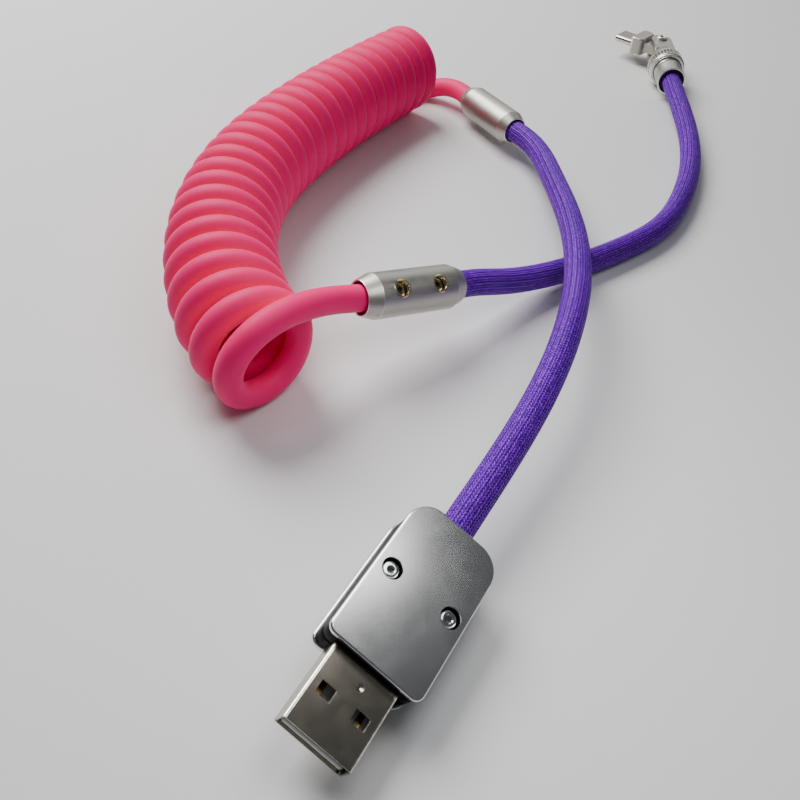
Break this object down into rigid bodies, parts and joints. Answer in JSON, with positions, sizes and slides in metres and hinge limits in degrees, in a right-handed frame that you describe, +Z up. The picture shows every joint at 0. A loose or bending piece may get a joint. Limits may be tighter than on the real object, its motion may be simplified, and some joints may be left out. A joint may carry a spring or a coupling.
{
  "type": "coiled usb cable",
  "caption": "Coiled keyboard cable lying in a loop: braided leads, coiled middle, metal joiners, a USB-A plug and a folding swivel USB-C plug.",
  "frame": {"origin": "on the desk, under the middle of the box around the plugs and the joiners", "axes": "+Z up from the desk, +Y from the USB-A plug towards the USB-C plug, +X to the right of that"},
  "size_m": [0.1427, 0.2818, 0.0246],
  "materials": {
    "satin_aluminium": "fine bead-blasted, soft sheen",
    "plug_steel": "nickel plated, lightly worn",
    "screw_steel": "polished",
    "brass": "turned",
    "gold": "gold plated",
    "black_plastic": "glossy",
    "white_plastic": "moulded",
    "green_board": "solder mask",
    "rubber": "matt",
    "purple_braid": "braided monofilament sleeve",
    "pink_cord": "soft-touch TPU, matt",
    "cable_jacket": "extruded jacket"
  },
  "bodies": {
    "cable": {"sleeve_a": "purple_braid", "sleeve_b": "purple_braid", "coil_tail_1": "pink_cord", "coil_tail_2": "pink_cord", "coil": "pink_cord", "usb_a_shell": "plug_steel", "usb_a_tongue": "white_plastic", "usb_a_board": "green_board", "usb_a_inner_cable": "cable_jacket", "usb_a_crimp_ring": "satin_aluminium", "usb_a_top_plate": "satin_aluminium", "usb_a_bottom_plate": "satin_aluminium", "usb_a_core_upper": "black_plastic", "usb_a_core_lower": "black_plastic", "usb_a_screw_1": "screw_steel", "usb_a_screw_2": "screw_steel", "usb_c_collar": "satin_aluminium", "usb_c_grommet": "rubber", "usb_a_contact_1": "gold", "usb_a_contact_2": "gold", "usb_a_contact_3": "gold", "usb_a_contact_4": "gold", "joiner_1_barrel": "satin_aluminium", "joiner_1_splice": "cable_jacket", "joiner_1_insert_1": "brass", "joiner_1_set_screw_1": "screw_steel", "joiner_1_insert_2": "brass", "joiner_1_set_screw_2": "screw_steel", "joiner_2_barrel": "satin_aluminium", "joiner_2_splice": "cable_jacket", "joiner_2_insert_1": "brass", "joiner_2_set_screw_1": "screw_steel", "joiner_2_insert_2": "brass", "joiner_2_set_screw_2": "screw_steel"},
    "swivel_base": {"usb_c_knurled_ring": "satin_aluminium", "usb_c_fork": "satin_aluminium", "usb_c_pivot_screw": "screw_steel"},
    "usb_c_head": {"usb_c_housing": "satin_aluminium", "usb_c_board": "green_board", "usb_c_shell": "plug_steel", "usb_c_insulator": "rubber", "usb_c_contacts_upper": "gold", "usb_c_contacts_lower": "gold"}
  },
  "joints": [
    {"name": "swivel_spin", "type": "hinge", "parent": "cable", "child": "swivel_base", "pos_m": [0.0432, 0.1083, 0.0063], "axis": [0, 1, 0], "continuous": true},
    {"name": "head_fold", "type": "hinge", "parent": "swivel_base", "child": "usb_c_head", "pos_m": [0.0432, 0.1283, 0.0063], "axis": [0, 0, 1], "range_deg": [-144, 36]}
  ]
}
